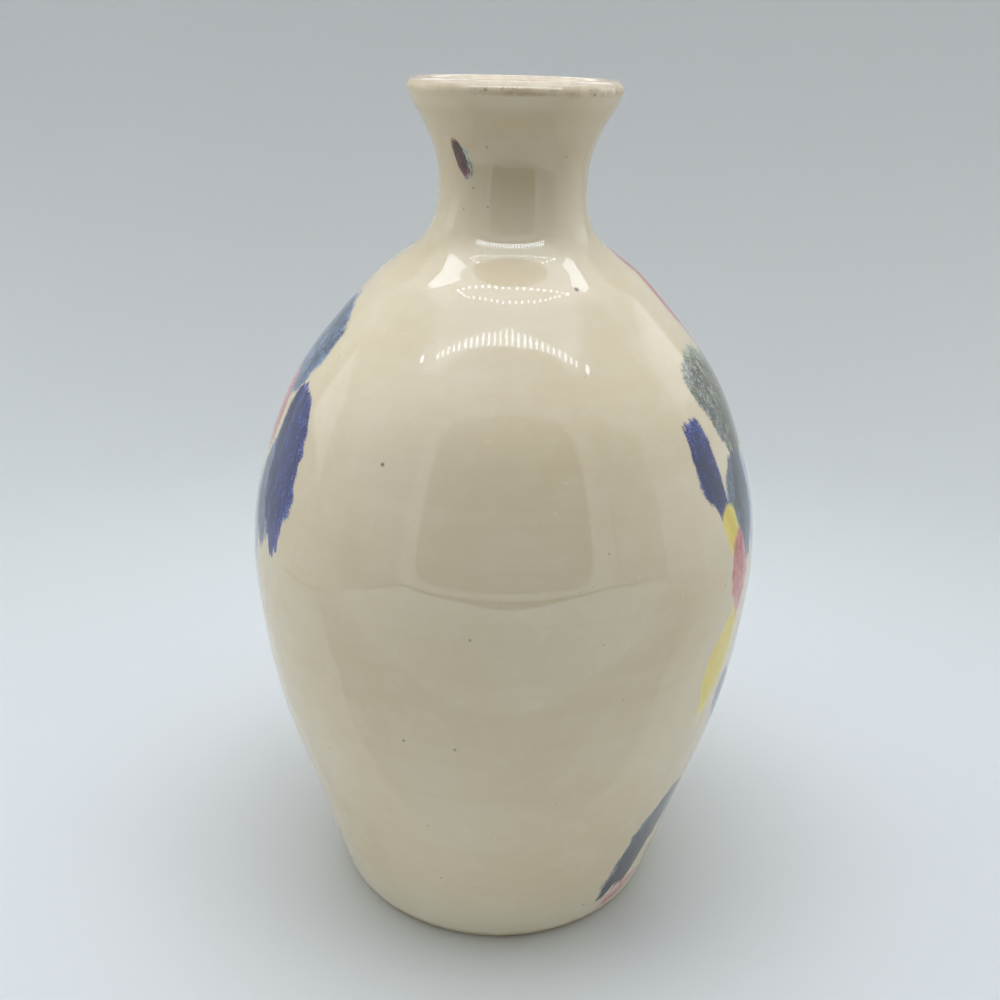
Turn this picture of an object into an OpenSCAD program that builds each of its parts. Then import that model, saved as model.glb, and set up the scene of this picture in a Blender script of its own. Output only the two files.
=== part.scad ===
// Hand-thrown bottle vase: one fired clay body, a glaze coat outside, a liner
// glaze inside, and loose brush marks of coloured glaze lying on the outer coat.
// Millimetres, +Z up, origin at the centre of the foot on the rest plane.

/* [Overall] */
// Height from the rest plane to the crest of the lip
height = 215; // [208:1:222]
// Height of the widest part of the belly
belly_z = 98; // [90:1:106]
// Height of the narrowest part of the neck
neck_z = 190; // [188:1:192]

/* [Widths] */
// Outside diameter of the foot
foot_d = 90; // [80:1:98]
// Outside diameter of the belly
belly_d = 132.4; // [124:0.2:140]
// Outside diameter of the neck at its narrowest
neck_d = 35.8; // [34:0.2:40]
// Outside diameter of the lip
lip_d = 50.4; // [48:0.2:56]

/* [Clay] */
// Thickness of the clay wall at the belly
wall_t = 5.5; // [4.5:0.1:6.5]
// Extra thickness of the wall low down, just above the floor
wall_low = 2; // [0:0.1:3]
// Thickness of the floor above the rest plane
floor_t = 8; // [6.5:0.1:10]
// Radius of the rounded lip bead
bead_r = 2.3; // [2:0.1:2.6]
// Clear diameter of the straight throat, inside the liner glaze
throat_d = 25; // [22:0.2:26]
// Height where the straight throat begins
throat_z = 183; // [182:0.5:185]
// Length of the straight throat
throat_len = 14; // [10:0.5:15]

/* [Foot] */
// Diameter of the trimmed recess under the foot
recess_d = 70; // [56:1:74]
// Depth of the trimmed recess
recess_h = 3; // [1.5:0.1:4]
// Rounding of the outer edge of the foot
foot_round = 1; // [0.6:0.1:1.2]

/* [Coats] */
// Thickness of the outer glaze and of the liner glaze
glaze_t = 0.4; // [0.3:0.05:0.6]
// Height above the rest plane where the outer glaze stops
glaze_edge = 1.4; // [1.3:0.1:3]
// Thickness of the coloured glaze of the brush marks
mark_t = 0.12; // [0.1:0.01:0.2]

/* [Hidden] */
$fn = 144;

foot_r = foot_d / 2;
belly_r = belly_d / 2;
neck_r = neck_d / 2;
lip_r = lip_d / 2;
throat_r = throat_d / 2;
throat_top = throat_z + throat_len;
bead_c = [lip_r - bead_r, height - bead_r];

// ---- smooth profile ----------------------------------------------------
// Natural cubic spline through stations [height, radius].
function gap(p, i) = p[i + 1][0] - p[i][0];
function rise(p, i) = (p[i + 1][1] - p[i][1]) / gap(p, i);
function sweep(p, i = 1, acc = [[0, 0]]) =
    i > len(p) - 2 ? acc :
    let (m = 2 * (gap(p, i - 1) + gap(p, i)) - gap(p, i - 1) * acc[i - 1][0],
         q = 6 * (rise(p, i) - rise(p, i - 1)))
    sweep(p, i + 1, concat(acc, [[gap(p, i) / m, (q - gap(p, i - 1) * acc[i - 1][1]) / m]]));
function unwind(f, i, acc) =
    i < 0 ? acc : unwind(f, i - 1, concat([f[i][1] - f[i][0] * acc[0]], acc));
function bends(p) = let (f = sweep(p)) unwind(f, len(f) - 1, [0]);
function curve(p, m, z, i = 0) =
    (i < len(p) - 2 && z > p[i + 1][0]) ? curve(p, m, z, i + 1) :
    let (h = gap(p, i), a = (p[i + 1][0] - z) / h, b = 1 - a)
    a * p[i][1] + b * p[i + 1][1]
    + ((pow(a, 3) - a) * m[i] + (pow(b, 3) - b) * m[i + 1]) * h * h / 6;

// Shape of the outside, each row as [share of the height, share of the radius]:
// foot to belly, belly to neck, neck to lip.
low_shape = [[0, 0], [0.14, 0.2], [0.3, 0.395], [0.49, 0.655], [0.67, 0.85], [0.86, 0.962]];
mid_shape = [[0, 1], [0.2, 0.96], [0.37, 0.857], [0.52, 0.725], [0.65, 0.541], [0.74, 0.389],
             [0.8, 0.272], [0.87, 0.094], [0.935, 0.019]];
top_shape = [[0, 0], [0.28, 0.066], [0.56, 0.4], [0.78, 0.82]];
// The flare runs into the bead 30 degrees below its widest point.
flare_end = [bead_c[1] - bead_r * sin(30), bead_c[0] + bead_r * cos(30)];
outside = concat(
    [for (s = low_shape) [belly_z * s[0], foot_r + (belly_r - foot_r) * s[1]]],
    [for (s = mid_shape) [belly_z + (neck_z - belly_z) * s[0], neck_r + (belly_r - neck_r) * s[1]]],
    [for (s = top_shape) [neck_z + (height - neck_z) * s[0], neck_r + (lip_r - neck_r) * s[1]]],
    [flare_end]);
outside_m = bends(outside);
function out_r(z) = curve(outside, outside_m, z);
function out_s(z) = (out_r(z + 0.01) - out_r(z - 0.01)) / 0.02;
// Point of the outside at height z, set t inwards along the normal.
function out_at(z, t) = let (k = out_s(z), n = sqrt(1 + k * k)) [out_r(z) - t / n, z + t * k / n];

// Heights at which the outside is sampled, closer together at the neck.
low_n = 24;
mid_n = 15;
root_n = 18;
top_n = 7;
root_z = belly_z + (neck_z - belly_z) * 0.62;
heights = concat(
    [for (i = [0 : low_n - 1]) glaze_edge + (belly_z - glaze_edge) * i / low_n],
    [for (i = [0 : mid_n - 1]) belly_z + (root_z - belly_z) * i / mid_n],
    [for (i = [0 : root_n - 1]) root_z + (neck_z - root_z) * i / root_n],
    [for (i = [0 : top_n - 1]) neck_z + (flare_end[0] - neck_z) * i / top_n]);
// Outside from the glaze edge to the crest of the lip, set t inwards.
function out_path(t) = concat(
    [for (z = heights) out_at(z, t)],
    [for (i = [0 : 10]) let (a = -30 + 12 * i)
        bead_c + (bead_r - t) * [cos(a), sin(a)]]);

// Inside of the flare, from the throat to the inner edge of the bead.
flare_in_end = [bead_c[1] + bead_r * sin(30), bead_c[0] - bead_r * cos(30)];
flare_in = [[throat_top, throat_r],
            [throat_top + (flare_in_end[0] - throat_top) * 0.12, throat_r + (flare_in_end[1] - throat_r) * 0.02],
            [throat_top + (flare_in_end[0] - throat_top) * 0.42, throat_r + (flare_in_end[1] - throat_r) * 0.24],
            [throat_top + (flare_in_end[0] - throat_top) * 0.7, throat_r + (flare_in_end[1] - throat_r) * 0.6],
            flare_in_end];
flare_m = bends(flare_in);
function flare_s(z) = (curve(flare_in, flare_m, z + 0.01) - curve(flare_in, flare_m, z - 0.01)) / 0.02;
function flare_at(z, t) = let (k = flare_s(z), n = sqrt(1 + k * k))
    [curve(flare_in, flare_m, z) + t / n, z - t * k / n];

// Wall from the outside to the inside, both glazes included.
function wall_at(z) = wall_t + 2 * glaze_t + wall_low * max(0, 1 - z / belly_z);
wall_top = neck_z - 7.5;
wall_bot = floor_t + 14;
wall_n = 40;
floor_z = floor_t + glaze_t;
// Inside from the crest of the lip to the middle of the floor, set t into the clay.
function corner(t) = out_at(wall_bot, wall_at(wall_bot) - t);
function in_path(t) = concat(
    [for (i = [0 : 5]) let (a = 90 + 12 * i) bead_c + (bead_r - t) * [cos(a), sin(a)]],
    [for (i = [1 : 8]) flare_at(flare_in_end[0] + (throat_top - flare_in_end[0]) * i / 9, t)],
    [[throat_r + t, throat_top], [throat_r + t, throat_z]],
    [for (i = [0 : wall_n - 1]) let (z = wall_top + (wall_bot - wall_top) * i / wall_n)
        out_at(z, wall_at(z) - t)],
    [for (i = [0 : 7]) let (c = corner(t), a = 90 * i / 7)
        [c[0] - 14 * (1 - cos(a)), c[1] - (c[1] - floor_z + t) * sin(a)]],
    [[0, floor_z - t]]);

function back_to_front(v) = [for (i = [len(v) - 1 : -1 : 0]) v[i]];

// ---- fired pieces ------------------------------------------------------
// Clay body: wall, floor, foot ring with a trimmed recess, rounded lip.
module clay_body() {
    color([0.86, 0.80, 0.70])
    rotate_extrude()
    polygon(concat(
        [[0, recess_h], [recess_d / 2 - 1.2, recess_h], [recess_d / 2, recess_h - 1.2],
         [recess_d / 2, 0.6], [recess_d / 2 + 0.6, 0]],
        [for (i = [0 : 4]) let (a = -90 + 22.5 * i, e = out_at(glaze_edge, glaze_t))
            [e[0] - 0.2 - foot_round + foot_round * cos(a), foot_round + foot_round * sin(a)]],
        out_path(glaze_t), in_path(glaze_t)));
}

// Outer glaze: a thin coat from just above the foot, over the crest of the lip.
module outer_glaze() {
    color([0.91, 0.88, 0.77])
    rotate_extrude()
    polygon(concat(out_path(0), back_to_front(out_path(glaze_t))));
}

// Liner glaze: a thin coat from the crest of the lip down to the floor.
module liner_glaze() {
    color([0.88, 0.84, 0.72])
    rotate_extrude()
    polygon(concat(in_path(0), back_to_front(in_path(glaze_t))));
}

// ---- brush marks -------------------------------------------------------
// Outline of one brush mark: blunt at the top, drawn out at the bottom.
mark_n = 12;
function half_mark(t, w) = w / 2 * pow(sin(180 * pow(t, 0.8)), 0.55);
function mark_side(l, w, side) =
    [for (i = [1 : mark_n - 1]) let (t = i / mark_n) [side * half_mark(t, w), l / 2 - l * t]];
module mark_outline(l, w) {
    polygon(concat([[0, l / 2]], mark_side(l, w, 1), [[0, -l / 2]], back_to_front(mark_side(l, w, -1))));
}

// Thin coat on the outside between two heights.
module coat(z0, z1) {
    band = [for (i = [0 : len(heights) - 1])
        if ((i == len(heights) - 1 || heights[i + 1] > z0) && (i == 0 || heights[i - 1] < z1)) heights[i]];
    rotate_extrude()
    polygon(concat([for (z = band) out_at(z, 0)],
                   back_to_front([for (z = band) out_at(z, -mark_t)])));
}

// A mark is a row [turn, z, length, width, lean]: turn is the angle around the
// axis from the front (-Y) towards +X, z its middle, lean its tilt to the left.
// Its outline, drawn out from the axis.
module mark_prism(m) {
    rotate([0, 0, m[0] - 90])
    rotate([90, 0, 90])
    linear_extrude(height = belly_r + 10)
    translate([0, m[1]])
    rotate(m[4])
    mark_outline(m[2], m[3]);
}
module brush_mark(m) {
    reach = m[2] / 2 * abs(cos(m[4])) + m[3] / 2 * abs(sin(m[4])) + 1;
    intersection() {
        coat(max(glaze_edge, m[1] - reach), m[1] + reach);
        mark_prism(m);
    }
}

// Marks of one colour. Where a later colour crosses one, the later colour takes its place.
function turn_gap(a, b) = abs(((a - b) % 360 + 540) % 360 - 180);
function near(m, o) = turn_gap(m[0], o[0]) < 45 && abs(m[1] - o[1]) < (m[2] + m[3] + o[2] + o[3]) / 2;
module brush_marks(rows, later = []) {
    for (m = rows)
        difference() {
            brush_mark(m);
            for (o = later) if (near(m, o)) mark_prism(o);
        }
}

// Rows of marks, from the first colour brushed on to the last
lavender_rows = [[-76, 106, 36, 16, 12], [77, 112, 36, 14, 6], [97, 72, 34, 13, 8],
                 [182, 62, 36, 14, 6], [276, 72, 32, 12, -8], [222, 116, 26, 10, 14]];
olive_rows = [[76, 142, 29, 36, -18], [192, 128, 42, 24, -10], [250, 62, 38, 18, 10], [-33, 197, 9, 2.6, 14]];
slate_rows = [[-80, 153, 26, 26, -6], [-68, 119, 30, 12, 12], [66, 121, 26, 18, 4], [66, 62, 30, 9, 20],
              [49, 26, 40, 14, -28], [126, 142, 36, 18, 16],
              [202, 92, 38, 15, -22], [236, 150, 34, 18, -8]];
cobalt_rows = [[-61, 128, 38, 19, 6], [53, 131, 26, 10, 16], [106, 112, 40, 18, -12],
               [170, 136, 44, 20, 12], [158, 50, 34, 14, 16], [258, 108, 40, 18, -14]];
yellow_rows = [[58, 117, 14, 8, 8], [55, 83, 34, 10, -22], [132, 104, 34, 12, -16],
               [160, 94, 30, 12, 18], [210, 54, 32, 12, -18], [238, 90, 30, 12, 12]];
rose_rows = [[-80, 138, 20, 12, 10], [92, 164, 26, 14, -12], [61, 105, 22, 10, 2], [116, 78, 34, 15, 12],
             [182, 98, 30, 16, -4], [246, 122, 30, 14, 10], [268, 38, 28, 12, 18],
             [46, 7, 16, 5, -70]];
touch_rows = [[-40, 198, 9, 3, 18]];
over_yellow = concat(rose_rows, touch_rows);
over_cobalt = concat(yellow_rows, over_yellow);
over_slate = concat(cobalt_rows, over_cobalt);
over_olive = concat(slate_rows, over_slate);
over_lavender = concat(olive_rows, over_olive);

module lavender_marks() { color([0.68, 0.70, 0.79]) brush_marks(lavender_rows, over_lavender); }
module olive_marks() { color([0.47, 0.49, 0.44]) brush_marks(olive_rows, over_olive); }
module slate_marks() { color([0.36, 0.44, 0.55]) brush_marks(slate_rows, over_slate); }
module cobalt_marks() { color([0.14, 0.20, 0.47]) brush_marks(cobalt_rows, over_cobalt); }
module yellow_marks() { color([0.90, 0.84, 0.34]) brush_marks(yellow_rows, over_yellow); }
module rose_marks() { color([0.77, 0.50, 0.52]) brush_marks(rose_rows, touch_rows); }
module neck_touch() { color([0.36, 0.16, 0.17]) brush_marks(touch_rows); }

clay_body();
outer_glaze();
liner_glaze();
cobalt_marks();
slate_marks();
olive_marks();
lavender_marks();
rose_marks();
yellow_marks();
neck_touch();
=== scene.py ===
"""Looks of the hand-thrown bottle vase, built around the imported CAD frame.

Pieces, all riding on the one body "root":
  clay_pot        the thrown and trimmed clay, seen at the foot ring and in the recess
  glaze_outer     the cream coat outside, from the foot line to the crest of the lip
  glaze_liner     the cream coat inside
  brush_*         one coat of each brushed colour, each mark a thin shell on the glaze
Lengths below are in millimetres until a mesh is made.
"""

import math

import bpy
import numpy as np
from mathutils import Matrix, Vector


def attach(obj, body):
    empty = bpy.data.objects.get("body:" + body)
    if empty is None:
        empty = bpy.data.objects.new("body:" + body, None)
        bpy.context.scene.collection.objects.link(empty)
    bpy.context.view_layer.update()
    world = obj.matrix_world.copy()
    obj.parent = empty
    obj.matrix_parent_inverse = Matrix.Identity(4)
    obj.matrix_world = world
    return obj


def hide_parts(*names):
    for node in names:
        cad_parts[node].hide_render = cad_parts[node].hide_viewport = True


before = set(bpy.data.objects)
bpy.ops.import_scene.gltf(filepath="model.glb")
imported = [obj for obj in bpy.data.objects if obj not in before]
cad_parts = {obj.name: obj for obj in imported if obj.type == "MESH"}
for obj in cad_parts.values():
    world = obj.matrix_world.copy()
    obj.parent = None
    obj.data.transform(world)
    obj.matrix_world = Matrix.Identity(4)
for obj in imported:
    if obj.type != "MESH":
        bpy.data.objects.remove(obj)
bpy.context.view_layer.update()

MM = 0.001
TAU = 2 * math.pi


# ------------------------------------------------------------------ profile

class Spline:
    """Natural cubic spline r(z) through stations (z, r)."""

    def __init__(self, stations):
        p = np.array(stations, float)
        self.x, self.y = p[:, 0], p[:, 1]
        n, h = len(p), np.diff(p[:, 0])
        a, b = np.eye(n), np.zeros(n)
        for i in range(1, n - 1):
            a[i, i - 1 : i + 2] = h[i - 1], 2 * (h[i - 1] + h[i]), h[i]
            b[i] = 6 * ((self.y[i + 1] - self.y[i]) / h[i] - (self.y[i] - self.y[i - 1]) / h[i - 1])
        self.m = np.linalg.solve(a, b)

    def __call__(self, q, slope=False):
        q = np.asarray(q, float)
        i = np.clip(np.searchsorted(self.x, q) - 1, 0, len(self.x) - 2)
        h = self.x[i + 1] - self.x[i]
        a, b = (self.x[i + 1] - q) / h, (q - self.x[i]) / h
        m0, m1 = self.m[i], self.m[i + 1]
        if slope:
            return (self.y[i + 1] - self.y[i]) / h - (3 * a * a - 1) * h * m0 / 6 + (3 * b * b - 1) * h * m1 / 6
        return a * self.y[i] + b * self.y[i + 1] + ((a**3 - a) * m0 + (b**3 - b) * m1) * h * h / 6


HEIGHT, BELLY_Z, NECK_Z = 215.0, 98.0, 190.0
FOOT_R, BELLY_R, NECK_R, LIP_R = 45.0, 66.2, 17.9, 25.2
BEAD = 2.3
GLAZE = 0.4
GLAZE_EDGE = 1.4
BEAD_R, BEAD_Z = LIP_R - BEAD, HEIGHT - BEAD

LOW = [[0, 0], [0.14, 0.2], [0.3, 0.395], [0.49, 0.655], [0.67, 0.85], [0.86, 0.962]]
MID = [[0, 1], [0.2, 0.96], [0.37, 0.857], [0.52, 0.725], [0.65, 0.541], [0.74, 0.389], [0.8, 0.272], [0.87, 0.094], [0.935, 0.019]]
TOP = [[0, 0], [0.28, 0.066], [0.56, 0.4], [0.78, 0.82]]

outer = Spline(
    [[BELLY_Z * t, FOOT_R + (BELLY_R - FOOT_R) * s] for t, s in LOW]
    + [[BELLY_Z + (NECK_Z - BELLY_Z) * t, NECK_R + (BELLY_R - NECK_R) * s] for t, s in MID]
    + [[NECK_Z + (HEIGHT - NECK_Z) * t, NECK_R + (LIP_R - NECK_R) * s] for t, s in TOP]
    + [[BEAD_Z - BEAD / 2, BEAD_R + BEAD * math.cos(math.radians(30))]]
)
JOIN_Z = BEAD_Z - BEAD / 2


def smooth(x, lo, hi):
    t = np.clip((np.asarray(x, float) - lo) / (hi - lo), 0, 1)
    return t * t * (3 - 2 * t)


def inset(z, t):
    """Points t below the outer surface, square to it, as (r, z)."""
    k = outer(z, True)
    n = np.sqrt(1 + k * k)
    return np.stack([outer(z) - t / n, z + t * k / n], -1)


def even(fn, a, b, step):
    """Parameters from a to b that put points of the curve fn about step apart."""
    q = np.linspace(a, b, 3000)
    p = fn(q)
    s = np.concatenate([[0], np.cumsum(np.hypot(*np.diff(p, axis=0).T))])
    return np.interp(np.linspace(0, s[-1], max(2, round(s[-1] / step) + 1)), s, q)


def bead(radius, a0, a1, n):
    """Part of the lip's round section. Rows crowd towards the crest, so its two coats meet without a crease."""
    a = np.linspace(a0, a1, n)
    step = math.copysign(1, a1 - a0)
    if a1 == 90:
        a = np.concatenate([a[:-1], [90 - 1.2 * step, 90 - 0.3 * step, 90]])
    if a0 == 90:
        a = np.concatenate([[90, 90 + 0.3 * step, 90 + 1.2 * step], a[1:]])
    a = np.radians(a)
    return np.stack([BEAD_R + radius * np.cos(a), BEAD_Z + radius * np.sin(a)], -1)


# inside of the pot: lip, flare, throat, wall, corner, floor
THROAT_R, THROAT_LOW, THROAT_TOP, FLOOR_T = 12.5, 183.0, 197.0, 8.0
FLARE_Z, FLARE_R = BEAD_Z + BEAD / 2, BEAD_R - BEAD * math.cos(math.radians(30))
flare = Spline(
    [[THROAT_TOP + (FLARE_Z - THROAT_TOP) * t, THROAT_R + (FLARE_R - THROAT_R) * s]
     for t, s in ((0, 0), (0.12, 0.02), (0.42, 0.24), (0.7, 0.6), (1, 1))]
)


def wall(z):
    return 5.5 + 2 * GLAZE + 2.0 * np.maximum(0, 1 - z / BELLY_Z)


def inner_path(step=1.1):
    """The finished inside from the crest of the lip to the middle of the floor, as (r, z)."""
    rows = [bead(BEAD, 90, 150, 20)]
    fn = lambda z: np.stack([flare(z), z], -1)
    rows.append(fn(even(fn, FLARE_Z, THROAT_TOP, step * 0.6))[1:])
    top = 182.5
    throat = np.array([[THROAT_R, z] for z in np.linspace(THROAT_TOP, THROAT_LOW, 14)[1:]])
    rows.append(throat)
    low = FLOOR_T + 14
    fn = lambda z: inset(z, wall(z))
    body = fn(even(fn, top, low, step))
    # the throat runs into the shoulder through a short rounded bend
    p0, p1, p2 = throat[-1], np.array([THROAT_R + 0.2, THROAT_LOW - 2.6]), body[6]
    t = np.linspace(0, 1, 12)[1:-1, None]
    rows.append((1 - t) ** 2 * p0 + 2 * t * (1 - t) * p1 + t * t * p2)
    rows.append(body[6:])
    c = body[-1]
    a = np.radians(np.linspace(0, 90, 20))[1:]
    rows.append(np.stack([c[0] - 14 * (1 - np.cos(a)), c[1] - (c[1] - FLOOR_T - GLAZE) * np.sin(a)], -1))
    r = np.linspace(rows[-1][-1][0], 0, 36)[1:]
    rows.append(np.stack([r, np.full_like(r, FLOOR_T + GLAZE)], -1))
    return np.concatenate(rows)


def offset(path, t):
    """A path moved t to its left; the caller sets its ends again, near the lip's crest and on the axis."""
    d = np.gradient(path, axis=0)
    d /= np.maximum(np.hypot(d[:, 0], d[:, 1]), 1e-9)[:, None]
    out = path + t * np.stack([-d[:, 1], d[:, 0]], -1)
    return out


# ------------------------------------------------------------------ hand-made unevenness

def thrown(phi, z):
    """How far the outside stands in from its ideal shape, mm, never outward: faint finger rings climb
    in a slow spiral, and the pot is very slightly out of round."""
    fade = smooth(z, 3, 16) * (1 - smooth(z, 200, 210))
    ring = 0.0035 + 0.007 * np.exp(-(((z - 42) / 22) ** 2))
    spiral = np.sin(TAU * z / 9.4 + phi + 0.9 * np.sin(z / 19.0))
    swell = 0.05 * np.sin(2 * phi + z / 60 + 0.7) + 0.03 * np.sin(3 * phi - z / 34 + 1.9) + 0.018 * np.sin(5 * phi + z / 11)
    return fade * (ring * spiral + swell) - 0.13 * fade - 0.01


def rings_inside(phi, z):
    """Throwing rings on the inside wall, mm, into the clay."""
    fade = smooth(z, 10, 26) * (1 - smooth(z, 168, 180))
    return fade * (0.22 + 0.20 * np.sin(TAU * z / 9.3 + phi + 0.7 * np.sin(z / 17.0)))


def trimmed(phi, r):
    """Turning rings cut into the hollow under the foot, mm, upward."""
    fade = smooth(r, 0.5, 3) * (1 - smooth(r, 31, 33.5))
    return 0.10 + 0.25 * (1 - (r / 34) ** 2) + fade * 0.085 * np.sin(TAU * r / 3.1 - phi + 0.5 * np.sin(r / 3.0))


# ------------------------------------------------------------------ meshes

def mesh(name, verts, faces, uvs, material, sharp=None):
    """verts in mm; uvs one (u, v) per face corner, in the order of faces."""
    me = bpy.data.meshes.new(name)
    me.from_pydata((np.asarray(verts) * MM).tolist(), [], faces)
    layer = me.uv_layers.new(name="OFBake")
    layer.data.foreach_set("uv", np.asarray(uvs, np.float32).ravel())
    me.shade_smooth()
    if sharp:
        me.set_sharp_from_angle(angle=math.radians(sharp))
    me.materials.append(material)
    ob = bpy.data.objects.new(name, me)
    bpy.context.scene.collection.objects.link(ob)
    return ob


def revolve(name, path, turns, material, move, vmap, loop=False, poles=(False, False), sharp=None):
    """Turns a path of (r, z) about Z. move(phi, path) gives the unevenness (dr, dz) of each point.
    With loop the last row joins the first; a pole is a row on the axis, made as one vertex."""
    path = np.asarray(path, float)
    n = len(path)
    phi = np.arange(turns) * TAU / turns
    dr, dz = move(phi[:, None], path[None, :, 0], path[None, :, 1])
    r = path[None, :, 0] + dr
    z = path[None, :, 1] + dz + 0 * r
    x, y = r * np.sin(phi)[:, None], -r * np.cos(phi)[:, None]
    verts, rows = [], []
    for i in range(n):
        if (i == 0 and poles[0]) or (i == n - 1 and poles[1]):
            rows.append([len(verts)] * turns)
            verts.append([0, 0, float(z[:, i].mean())])
        else:
            rows.append(list(range(len(verts), len(verts) + turns)))
            verts.extend(np.stack([x[:, i], y[:, i], z[:, i]], -1).tolist())
    faces, uvs = [], []
    last = n if loop else n - 1
    for i in range(last):
        a, b = rows[i], rows[(i + 1) % n]
        va, vb = vmap[i], vmap[i + 1]
        for j in range(turns):
            k = (j + 1) % turns
            u0, u1 = j / turns, (j + 1) / turns
            if a[j] == a[k]:
                faces.append((a[j], b[k], b[j]))
                uvs += [((u0 + u1) / 2, va), (u1, vb), (u0, vb)]
            elif b[j] == b[k]:
                faces.append((a[j], a[k], b[j]))
                uvs += [(u0, va), (u1, va), ((u0 + u1) / 2, vb)]
            else:
                faces.append((a[j], a[k], b[k], b[j]))
                uvs += [(u0, va), (u1, va), (u1, vb), (u0, vb)]
    return mesh(name, verts, faces, uvs, material, sharp)


def vspan(path, marks):
    """Heights in the map along a path. marks is [(row, v)]: v runs by length between them."""
    path = np.asarray(path)
    s = np.concatenate([[0], np.cumsum(np.hypot(*np.diff(path, axis=0).T))])
    rows = [m[0] for m in marks]
    return np.interp(s, [s[i] for i in rows], [m[1] for m in marks])


# ------------------------------------------------------------------ shader helpers

def srgb(r, g, b):
    f = lambda c: c / 12.92 if c <= 0.04045 else ((c + 0.055) / 1.055) ** 2.4
    return (f(r / 255), f(g / 255), f(b / 255), 1.0)


class Tree:
    """Short names for building a material's nodes."""

    def __init__(self, name):
        self.mat = bpy.data.materials.new(name)
        self.mat.use_nodes = True
        self.t = self.mat.node_tree
        self.t.nodes.clear()

    def node(self, kind, **props):
        n = self.t.nodes.new(kind)
        for k, v in props.items():
            setattr(n, k, v)
        return n

    def put(self, socket, value):
        if isinstance(value, bpy.types.NodeSocket):
            self.t.links.new(value, socket)
        else:
            socket.default_value = value

    def math(self, op, a, b=0.0, clamp=False):
        n = self.node("ShaderNodeMath", operation=op, use_clamp=clamp)
        self.put(n.inputs[0], a)
        self.put(n.inputs[1], b)
        return n.outputs[0]

    def add(self, a, b):
        return self.math("ADD", a, b)

    def mul(self, a, b):
        return self.math("MULTIPLY", a, b)

    def vec(self, op, a, b=(0, 0, 0)):
        n = self.node("ShaderNodeVectorMath", operation=op)
        self.put(n.inputs[0], a)
        if op == "SCALE":
            self.put(n.inputs["Scale"], b)
        else:
            self.put(n.inputs[1], b)
        return n.outputs["Value" if op in ("DISTANCE", "LENGTH") else "Vector"]

    def ramp(self, x, lo, hi, a=0.0, b=1.0, kind="SMOOTHSTEP"):
        n = self.node("ShaderNodeMapRange", interpolation_type=kind)
        for i, v in enumerate((x, lo, hi, a, b)):
            self.put(n.inputs[i], v)
        return n.outputs[0]

    def mix(self, f, a, b, mode="MIX"):
        n = self.node("ShaderNodeMix", data_type="RGBA", blend_type=mode)
        self.put(n.inputs[0], f)
        self.put(n.inputs[6], a)
        self.put(n.inputs[7], b)
        return n.outputs[2]

    def noise(self, vector, scale, detail=2.0, rough=0.5):
        n = self.node("ShaderNodeTexNoise", noise_dimensions="3D")
        self.put(n.inputs["Vector"], vector)
        self.put(n.inputs["Scale"], scale)
        self.put(n.inputs["Detail"], detail)
        self.put(n.inputs["Roughness"], rough)
        return n.outputs[0]

    def surface(self, colour, rough, normal, ior=1.68):
        b = self.node("ShaderNodeBsdfPrincipled")
        self.put(b.inputs["Base Color"], colour)
        self.put(b.inputs["Roughness"], rough)
        b.inputs["IOR"].default_value = ior
        self.put(b.inputs["Normal"], normal)
        o = self.node("ShaderNodeOutputMaterial")
        self.t.links.new(b.outputs[0], o.inputs[0])
        return self.mat

    def bump(self, height, distance, strength=1.0):
        n = self.node("ShaderNodeBump")
        n.inputs["Strength"].default_value = strength
        n.inputs["Distance"].default_value = distance
        self.put(n.inputs["Height"], height)
        return n.outputs[0]


def on_vase(phi, z):
    """A point of the outside, in mm, phi in degrees from the front towards +X."""
    a, r = math.radians(phi), float(outer(z))
    return (r * math.sin(a), -r * math.cos(a), z)


# larger iron specks that melted out of the clay: turn, height, radius mm, strength
SPECKS = [
    (29, 172, 0.75, 0.75), (-28, 138, 0.6, 0.8), (-20, 74, 0.5, 0.6), (-9, 74, 0.5, 0.55), (-6, 104, 0.45, 0.5),
    (-18, 201, 0.42, 0.8), (-30, 192, 0.4, 0.5), (39, 199, 0.45, 0.6), (30, 9, 0.6, 0.7), (21, 122, 0.35, 0.5),
    (118, 60, 0.6, 0.7), (150, 168, 0.5, 0.6), (171, 112, 0.5, 0.6), (214, 33, 0.6, 0.7), (226, 170, 0.45, 0.6), (287, 84, 0.5, 0.6),
]

# brushed colours from the lowest coat to the top one: pale, middle and dark tone, cover, grain of the edge,
# grain of the tone, how far the grain is drawn out along the stroke, softness of the edge in mm
COATS = {
    "lavender": (srgb(200, 204, 220), srgb(150, 162, 200), srgb(104, 116, 164), 0.85, 0.35, 0.30, 0.5, 1.6),
    "olive": (srgb(194, 195, 178), srgb(126, 128, 110), srgb(44, 46, 38), 0.95, 0.60, 0.80, 0.7, 1.1),
    "slate": (srgb(172, 188, 204), srgb(98, 120, 148), srgb(34, 46, 66), 0.93, 0.50, 0.55, 0.5, 1.2),
    "cobalt": (srgb(96, 108, 170), srgb(32, 43, 110), srgb(11, 14, 50), 0.97, 0.45, 0.70, 0.4, 0.9),
    "yellow": (srgb(240, 230, 160), srgb(230, 210, 84), srgb(222, 188, 44), 0.90, 0.20, 0.28, 0.5, 1.5),
    "rose": (srgb(230, 186, 182), srgb(208, 126, 128), srgb(172, 58, 66), 0.86, 0.40, 0.45, 0.6, 1.4),
    "maroon": (srgb(150, 146, 142), srgb(112, 48, 50), srgb(22, 10, 12), 0.92, 0.40, 0.45, 0.3, 0.7),
}


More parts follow.
